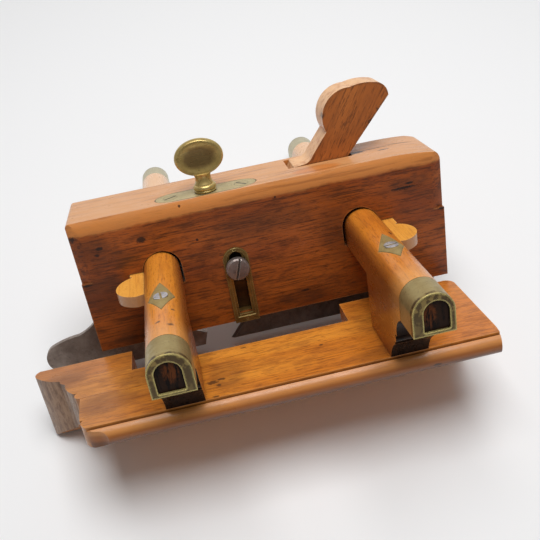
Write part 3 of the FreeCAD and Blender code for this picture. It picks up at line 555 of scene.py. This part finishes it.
rim = maths(tree, "MULTIPLY", corner_wear(tree, BROW_GRIME_REACH), span(tree, sidelong, 0.5, 0.9))
blotch = cloud(tree, place, 240, 4.0, 0.65)
rim = maths(tree, "MULTIPLY", rim, span(tree, blotch, 0.36, 0.6))
colour = lay(tree, colour, rim, 0.7, paint(58, 38, 26))
off_side = span(tree, sidelong, 0.7, 0.35)
browward = span(tree, facing(tree, (-0.6, 0, 0.8)), -0.25, 0.1)
brow = maths(tree, "MULTIPLY", off_side, browward)
worn_brow = blend_colours(tree, span(tree, blotch, 0.42, 0.72), paint(232, 184, 134), paint(196, 138, 92))
colour = lay(tree, colour, brow, 0.9, worn_brow)
ragged = cloud(tree, place, 700, 3.0, 0.6)
marks = spots(tree, place, maths(tree, "MULTIPLY", ragged, 1.6), WEDGE_MARKS)
colour = lay(tree, colour, marks, 0.7, paint(56, 40, 32))
settle(tree, shader, colour)
give(wedge_wood, "wedge")
print("marks on the wedge:", len(WEDGE_MARKS))

# %% Finish of the keys
key_wood, tree, shader, place, colour = wood(
    "key_wood",
    paint(240, 172, 76),
    paint(226, 152, 58),
    paint(172, 104, 46),
    paint(246, 190, 110),
    grain=ALONG_Y,
    streaks=0.3,
    flecks=0.25,
    polish=0.3,
)
edgewise = maths(tree, "SUBTRACT", 1.0, maths(tree, "ABSOLUTE", facing(tree, (0, 0, 1))))
colour = blend_colours(tree, span(tree, edgewise, 0.5, 0.95, 0.0, 0.7), colour, paint(176, 128, 96))
settle(tree, shader, colour)
give(key_wood, "key_front", "key_rear")
print("shader nodes in the keys' finish:", len(tree.nodes))


# %% [markdown]
# Old brass is dull olive-brown, with bright metal only where it is rubbed. The recipe mixes a
# tarnish colour and a bright colour by patches of noise, and the corner mask adds the rubbed
# edge. Tarnish is a thin crust, so the surface is only partly metallic. Fine scratches come from
# stretched noise.
# %% Brass recipe
METAL_SHARE = 0.6
METAL_GRIME_REACH = 0.0015
BRASS_SPECK = paint(74, 58, 36)
BRASS_GRIME = paint(36, 26, 17)


def brass(
    name, tarnish, bright, edge_colour, wear=0.8, polish=0.38, patch_scale=160.0, dents=0.00015, lip=0.6
):
    finish, tree, shader = start_finish(name)
    place = object_place(tree)
    patches = cloud(tree, place, patch_scale, 4.0, 0.6)
    scratches = cloud(tree, place, 900, 3.0, 0.6, (0.1, 1.0, 0.6))
    colour = blend_colours(tree, span(tree, patches, 0.35, 0.7, 0.0, 0.6), tarnish, bright)
    speck = cloud(tree, place, 1300, 2.0, 0.5)
    colour = blend_colours(tree, span(tree, speck, 0.6, 0.74, 0.0, 0.45), colour, BRASS_SPECK)
    edge = maths(tree, "MULTIPLY", corner_wear(tree, lip * MILLIMETRE), wear)
    colour = blend_colours(tree, edge, colour, edge_colour)
    grime = maths(tree, "MULTIPLY", hollow_grime(tree, METAL_GRIME_REACH), 0.85)
    colour = blend_colours(tree, grime, colour, BRASS_GRIME)
    shader.inputs["Metallic"].default_value = METAL_SHARE
    roughness = span(tree, scratches, 0.3, 0.7, polish - 0.08, polish + 0.14)
    tree.links.new(roughness, shader.inputs["Roughness"])
    height = maths(tree, "ADD", patches, maths(tree, "MULTIPLY", scratches, 0.12))
    bump = add(tree, "ShaderNodeBump", {"Height": height, "Strength": 0.5, "Distance": dents})
    tree.links.new(bump.outputs[0], shader.inputs["Normal"])
    return finish, tree, shader, place, colour


print("brass recipe ready")

# %% Plain brasses
DARK_JOINT = paint(62, 44, 26)
SLOT_SHADE = paint(30, 22, 15)
RUBBED = paint(224, 202, 134)
SIDE_PLATE = ("side_plate", "side_plate_pins")
SHOE = ("stop_shoe", "stop_rivets")
WASHERS = ("washer_front", "washer_rear")
SHARP_LIP = 0.6
JOINT_LIP = 1.1
BRASSES = {
    "plate_brass": (("top_plate",), paint(186, 168, 122), paint(210, 194, 150), DARK_JOINT, 0.8, 0.46),
    "side_brass": (SIDE_PLATE, paint(116, 92, 48), paint(152, 124, 68), RUBBED, 0.5, 0.34),
    "bar_brass": (("stop_bar",), paint(70, 50, 30), paint(104, 76, 44), RUBBED, 0.3, 0.44),
    "stop_brass": (SHOE, paint(136, 106, 56), paint(182, 146, 84), RUBBED, 0.5, 0.36),
    "washer_brass": (WASHERS, paint(168, 146, 92), paint(196, 176, 122), DARK_JOINT, 0.5, 0.42),
}
made_brasses = {}
for brass_name, (wearers, tarnish, bright, rim_colour, rub, gloss) in BRASSES.items():
    lip = JOINT_LIP if rim_colour == DARK_JOINT else SHARP_LIP
    made = brass(brass_name, tarnish, bright, rim_colour, rub, gloss, lip=lip)
    made_brasses[brass_name] = made
    finish, tree, shader, place, colour = made
    settle(tree, shader, colour)
    give(finish, *wearers)
print("brasses:", sorted(made_brasses))


# %% [markdown]
# The top plate is let in flush, so nothing but a line of dirt shows where it ends. Its two screws'
# slots are painted shade: the parts of the plate that lie inside the screws' heads are painted
# dark. A real groove round the plate would be finer than a hair. The line is painted instead, by a
# point's distance from the plate's middle line.
# %% Top plate
PLATE_LENGTH = 55.6
PLATE_WIDTH = 14.4
SCREW_X = 75.5
SCREW_Y = 10.3
SCREW_SPREAD = 19.3
DIRT_INNER = 0.88
DIRT_OUTER = 0.33
SLOT_REACH = (3.2, 3.2, 4.0)
SCREW_SLOTS = [((SCREW_X + side * SCREW_SPREAD, SCREW_Y, STOCK_HEIGHT), SLOT_REACH) for side in (-1, 1)]


def dirt_line(tree, place):
    """The dark line just inside the edge of the round-ended plate."""
    flat = (PLATE_LENGTH - PLATE_WIDTH) / 2 * MILLIMETRE
    lengthwise = maths(tree, "SUBTRACT", part_of(tree, place, "X"), along_x(SCREW_X))
    lengthwise = maths(tree, "ABSOLUTE", lengthwise)
    lengthwise = maths(tree, "MAXIMUM", maths(tree, "SUBTRACT", lengthwise, flat), 0.0)
    across = maths(tree, "SUBTRACT", part_of(tree, place, "Y"), along_y(SCREW_Y))
    lengthwise = maths(tree, "POWER", lengthwise, 2.0)
    squares = maths(tree, "ADD", lengthwise, maths(tree, "MULTIPLY", across, across))
    reach = maths(tree, "SQRT", squares)
    edge = PLATE_WIDTH / 2
    return span(tree, reach, (edge - DIRT_INNER) * MILLIMETRE, (edge - DIRT_OUTER) * MILLIMETRE)


finish, tree, shader, place, colour = made_brasses["plate_brass"]
dirt = maths(tree, "MULTIPLY", dirt_line(tree, place), 0.8)
colour = blend_colours(tree, dirt, colour, DARK_JOINT)
# Painted shade: the plate inside each screw's head is painted dark as the slot.
painted_slot_shade = spots(tree, place, 0.0, SCREW_SLOTS, 0.03)
colour = blend_colours(tree, painted_slot_shade, colour, SLOT_SHADE)
settle(tree, shader, colour)
print("slots on the top plate:", len(SCREW_SLOTS))

# %% [markdown]
# The heads of the plate's two screws are level with it and share its dull colour. Whatever lies
# lower than a head is its slot, so the height of a point is enough to paint it dark as shade.
# %% Screws of the top plate
plate_screw_brass, tree, shader, place, colour = brass(
    "plate_screw_brass", paint(182, 164, 118), paint(206, 190, 146), paint(150, 132, 92), 0.5, 0.44
)
HEAD_LEVEL = 76.19
SLOT_LEVEL = 76.08
# Painted shade in the slots, below the heads' level.
slot_depth = span(tree, part_of(tree, place, "Z"), level(HEAD_LEVEL), level(SLOT_LEVEL))
colour = blend_colours(tree, slot_depth, colour, SLOT_SHADE)
settle(tree, shader, colour)
give(plate_screw_brass, "top_plate_screws")
print("faces on the plate's screws:", len(nodes["top_plate_screws"].data.polygons))

# %% [markdown]
# The thumb screw's head is a cast disc with a dished face. Fingers polish its rim and its neck,
# and the dish keeps its brown tarnish, so an oval spot darkens the dish.
# %% Thumb screw head
DISH = [((75.5, 10.3, 94.9), (8.6, 4.0, 5.7))]
knob_brass, tree, shader, place, colour = brass(
    "knob_brass", paint(176, 150, 88), paint(214, 190, 124), paint(236, 214, 150), 0.6, 0.3
)
cast = cloud(tree, place, 300, 3.0, 0.6)
dish = spots(tree, place, maths(tree, "MULTIPLY", cast, 0.5), DISH, 0.5)
colour = lay(tree, colour, dish, 0.72, paint(98, 72, 44))
settle(tree, shader, colour)
give(knob_brass, "stop_screw_head")
print("dish at", at(*DISH[0][0]))

# %% [markdown]
# A ferrule is a thin brass sleeve driven over the stem's end. Its barrel is olive and dull, and
# its outer rim is hammered over: brown and dented on the flat, and bright along its edges. The rim
# is found by its distance from the middle of the plane. The far ferrules get a painted haze, a
# pale grey laid over them as bright light washing them out.
# %% Ferrules
FERRULES = ("ferrule_front_near", "ferrule_rear_near", "ferrule_front_far", "ferrule_rear_far")
RIM_FROM = 0.0030
RIM_TO = 0.0016
RIM_KNOCKS = 0.003
RIM_EDGE_REACH = 0.0014
RIM_SHADE_TOP = 45.0
RIM_SHADE_FOOT = 38.0
FERRULE_HAZE_START = 100.0
FERRULE_HAZE_END = 150.0
ferrule_brass, tree, shader, place, colour = brass(
    "ferrule_brass", paint(162, 142, 94), paint(184, 166, 116), RUBBED, 0.5, 0.4, 120.0, 0.0001
)
middle_y = along_y((STEM_NEAR + STEM_FAR) / 2)
half_reach = (STEM_FAR - STEM_NEAR) / 2 * MILLIMETRE
outness = maths(tree, "ABSOLUTE", maths(tree, "SUBTRACT", part_of(tree, place, "Y"), middle_y))
knocks = cloud(tree, place, 330, 4.0, 0.65)
unevenness = maths(tree, "MULTIPLY", maths(tree, "SUBTRACT", knocks, 0.5), RIM_KNOCKS)
rim_line = maths(tree, "ADD", outness, unevenness)
rim = span(tree, rim_line, half_reach - RIM_FROM, half_reach - RIM_TO)
rim_colour = blend_colours(tree, span(tree, knocks, 0.40, 0.52), paint(150, 126, 74), paint(72, 52, 34))
low = span(tree, part_of(tree, place, "Z"), level(RIM_SHADE_TOP), level(RIM_SHADE_FOOT), 0.0, 0.6)
rim_colour = blend_colours(tree, low, rim_colour, paint(78, 62, 42))
colour = lay(tree, colour, rim, 0.85, rim_colour)
lit_edge = maths(tree, "MULTIPLY", corner_wear(tree, RIM_EDGE_REACH), rim)
colour = blend_colours(tree, lit_edge, colour, paint(240, 222, 142))
# Painted haze: the far ferrules are painted paler and greyer.
painted_haze = span(tree, part_of(tree, place, "Y"), along_y(FERRULE_HAZE_START), along_y(FERRULE_HAZE_END), 0.0, 0.55)
colour = blend_colours(tree, painted_haze, colour, paint(214, 210, 186))
settle(tree, shader, colour)
give(ferrule_brass, *FERRULES)
print("ferrules:", len(FERRULES))


# %% [markdown]
# The skates, the iron and the screws are steel that has rusted a little and been oiled for a
# century: brown-grey, pitted, and brighter only on the edges that rub. The recipe is the brass
# one with a rust noise in place of the scratches.
# %% Steel recipe
STEEL_EDGE_REACH = 0.0007
RUST_BROWN = paint(66, 50, 42)
RUBBED_STEEL = paint(190, 182, 174)
STEEL_GRIME = paint(24, 19, 17)


def steel(name, dull, bright, wear=0.6, polish=0.42, pit_scale=700.0):
    finish, tree, shader = start_finish(name)
    place = object_place(tree)
    patches = cloud(tree, place, 90, 4.0, 0.65)
    rust = cloud(tree, place, 420, 4.0, 0.7)
    pits = cloud(tree, place, pit_scale, 3.0, 0.7)
    colour = blend_colours(tree, span(tree, patches, 0.3, 0.7), dull, bright)
    colour = blend_colours(tree, span(tree, rust, 0.55, 0.75, 0.0, 0.5), colour, RUST_BROWN)
    edge = maths(tree, "MULTIPLY", corner_wear(tree, STEEL_EDGE_REACH), wear)
    colour = blend_colours(tree, edge, colour, RUBBED_STEEL)
    grime = maths(tree, "MULTIPLY", hollow_grime(tree, METAL_GRIME_REACH), 0.75)
    colour = blend_colours(tree, grime, colour, STEEL_GRIME)
    shader.inputs["Metallic"].default_value = METAL_SHARE
    roughness = span(tree, rust, 0.35, 0.7, polish - 0.08, polish + 0.2)
    tree.links.new(roughness, shader.inputs["Roughness"])
    bump = add(tree, "ShaderNodeBump", {"Height": pits, "Strength": 0.4, "Distance": 0.0003})
    tree.links.new(bump.outputs[0], shader.inputs["Normal"])
    settle(tree, shader, colour)
    return finish


print("steel recipe ready")

# %% Steels
INNER_STEEL = ("skate_screws", "stop_screw_spindle", "stop_screw_collar")
STEELS = {
    "nose_steel": (("skate_front",), paint(124, 108, 98), paint(160, 146, 136), 0.4, 0.44),
    # Painted shade: the rear skate's steel is a darker copy of the nose's steel.
    "skate_steel": (("skate_rear",), paint(84, 74, 68), paint(112, 102, 96), 0.4, 0.46),
    "iron_steel": (("cutting_iron",), paint(104, 98, 92), paint(142, 136, 130), 0.5, 0.42),
    "screw_steel": (INNER_STEEL, paint(120, 114, 106), paint(160, 154, 146), 0.5, 0.4),
    "lock_steel": (("lock_screw",), paint(112, 98, 94), paint(148, 134, 130), 0.9, 0.36),
    "stem_screw_steel": (("stem_screws",), paint(140, 138, 140), paint(214, 216, 222), 0.6, 0.26),
}
for steel_name, (wearers, dull_colour, bright, rub, gloss) in STEELS.items():
    give(steel(steel_name, dull_colour, bright, rub, gloss), *wearers)
print("steels:", sorted(STEELS))

# %% [markdown]
# The plane lies on its fence and on the far ends of its stems, so it leans back on the table.
# The model itself stays upright, and the table is tilted under it instead. The board has one
# side only: seen from below it lets the view through, so the plane can be looked at from behind.
# %% Table
LEAN = math.radians(22.33)
TABLE_SPREAD = 3.0
TABLE_TOUCH = Vector((0.0, 0.05585, 0.01995))
table_right = Vector((1.0, 0.0, 0.0))
table_away = Vector((0.0, math.cos(LEAN), math.sin(LEAN)))
table_up = Vector((0.0, -math.sin(LEAN), math.cos(LEAN)))
corners = []
for side, way in ((-1, -1), (1, -1), (1, 1), (-1, 1)):
    corners.append(TABLE_TOUCH + (table_right * side + table_away * way) * TABLE_SPREAD)
table_mesh = bpy.data.meshes.new("table")
table_mesh.from_pydata(corners, [], [(0, 1, 2, 3)])
table = bpy.data.objects.new("table", table_mesh)
bpy.context.scene.collection.objects.link(table)
PAPER = (0.87, 0.87, 0.875, 1.0)
PAPER_ROUGHNESS = 0.7
PAPER_SHINE = 0.2
table_paper, tree, shader = start_finish("table_paper")
shader.inputs["Base Color"].default_value = PAPER
shader.inputs["Roughness"].default_value = PAPER_ROUGHNESS
shader.inputs["Specular IOR Level"].default_value = PAPER_SHINE
behind = add(tree, "ShaderNodeNewGeometry").outputs["Backfacing"]
clear = add(tree, "ShaderNodeBsdfTransparent").outputs[0]
one_sided = add(tree, "ShaderNodeMixShader", {0: behind, 1: shader.outputs[0], 2: clear})
tree.links.new(one_sided.outputs[0], tree.nodes["Material Output"].inputs["Surface"])
table_mesh.materials.append(table_paper)
print("table leans", round(math.degrees(LEAN), 2), "degrees")

# %% [markdown]
# The light is soft, as inside a white tent. The strongest part comes from straight above the
# table, and a wide lamp behind stands for a white wall: it gives the tops their pale sheen and
# pushes the shadow out in front of the fence. A dim world fills the rest.
# %% Light
TENT_WHITE = (0.98, 0.98, 0.98, 1.0)
TENT_STRENGTH = 0.2
LAMP_TARGET = Vector((0.0, 0.0, 0.05))
world = bpy.data.worlds.new("white tent")
bpy.context.scene.world = world
world.use_nodes = True
backdrop = world.node_tree.nodes["Background"]
backdrop.inputs["Color"].default_value = TENT_WHITE
backdrop.inputs["Strength"].default_value = TENT_STRENGTH


def lamp(name, rightward, away, up, size, power):
    """A rectangular lamp at a place over the table, in metres, that looks at the plane."""
    data = bpy.data.lights.new(name, "AREA")
    data.shape = "RECTANGLE"
    data.size = size[0]
    data.size_y = size[1]
    data.energy = power
    made = bpy.data.objects.new(name, data)
    bpy.context.scene.collection.objects.link(made)
    made.location = LAMP_TARGET + table_right * rightward + table_away * away + table_up * up
    made.rotation_mode = "QUATERNION"
    made.rotation_quaternion = (LAMP_TARGET - made.location).to_track_quat("-Z", "Y")
    return made


lamp("top lamp", 0.07, 0.06, 1.15, (0.8, 0.8), 13.4)
lamp("back wall", 0.0, 1.25, 0.32, (2.4, 0.9), 3.9)

# %% [markdown]
# The camera's place and lens were found by fitting it to the plane's edges. Its three directions
# are written as right, down and forward, and a small shift keeps the picture's crop.
# %% Camera
camera_data = bpy.data.cameras.new("camera")
camera = bpy.data.objects.new("camera", camera_data)
bpy.context.scene.collection.objects.link(camera)
right = Vector((0.97333, -0.16371, -0.16070))
down = Vector((-0.21622, -0.42061, -0.88110))
forward = Vector((0.07665, 0.89235, -0.44479))
turn = Matrix((right, -down, -forward)).transposed()
CAMERA_PLACE = at(68.6, -351.4, 194.6)
FILM_WIDTH = 36.0
LENS = 46.93
CROP_SHIFT = (0.003, 0.0237)
CLIP_RANGE = (0.01, 20.0)
camera.matrix_world = Matrix.Translation(CAMERA_PLACE) @ turn.to_4x4()
camera_data.sensor_width = FILM_WIDTH
camera_data.lens = LENS
camera_data.shift_x, camera_data.shift_y = CROP_SHIFT
camera_data.clip_start, camera_data.clip_end = CLIP_RANGE
bpy.context.scene.camera = camera
bpy.context.scene.view_settings.view_transform = "Standard"
print("camera at", camera.location)

bpy.context.view_layer.update()
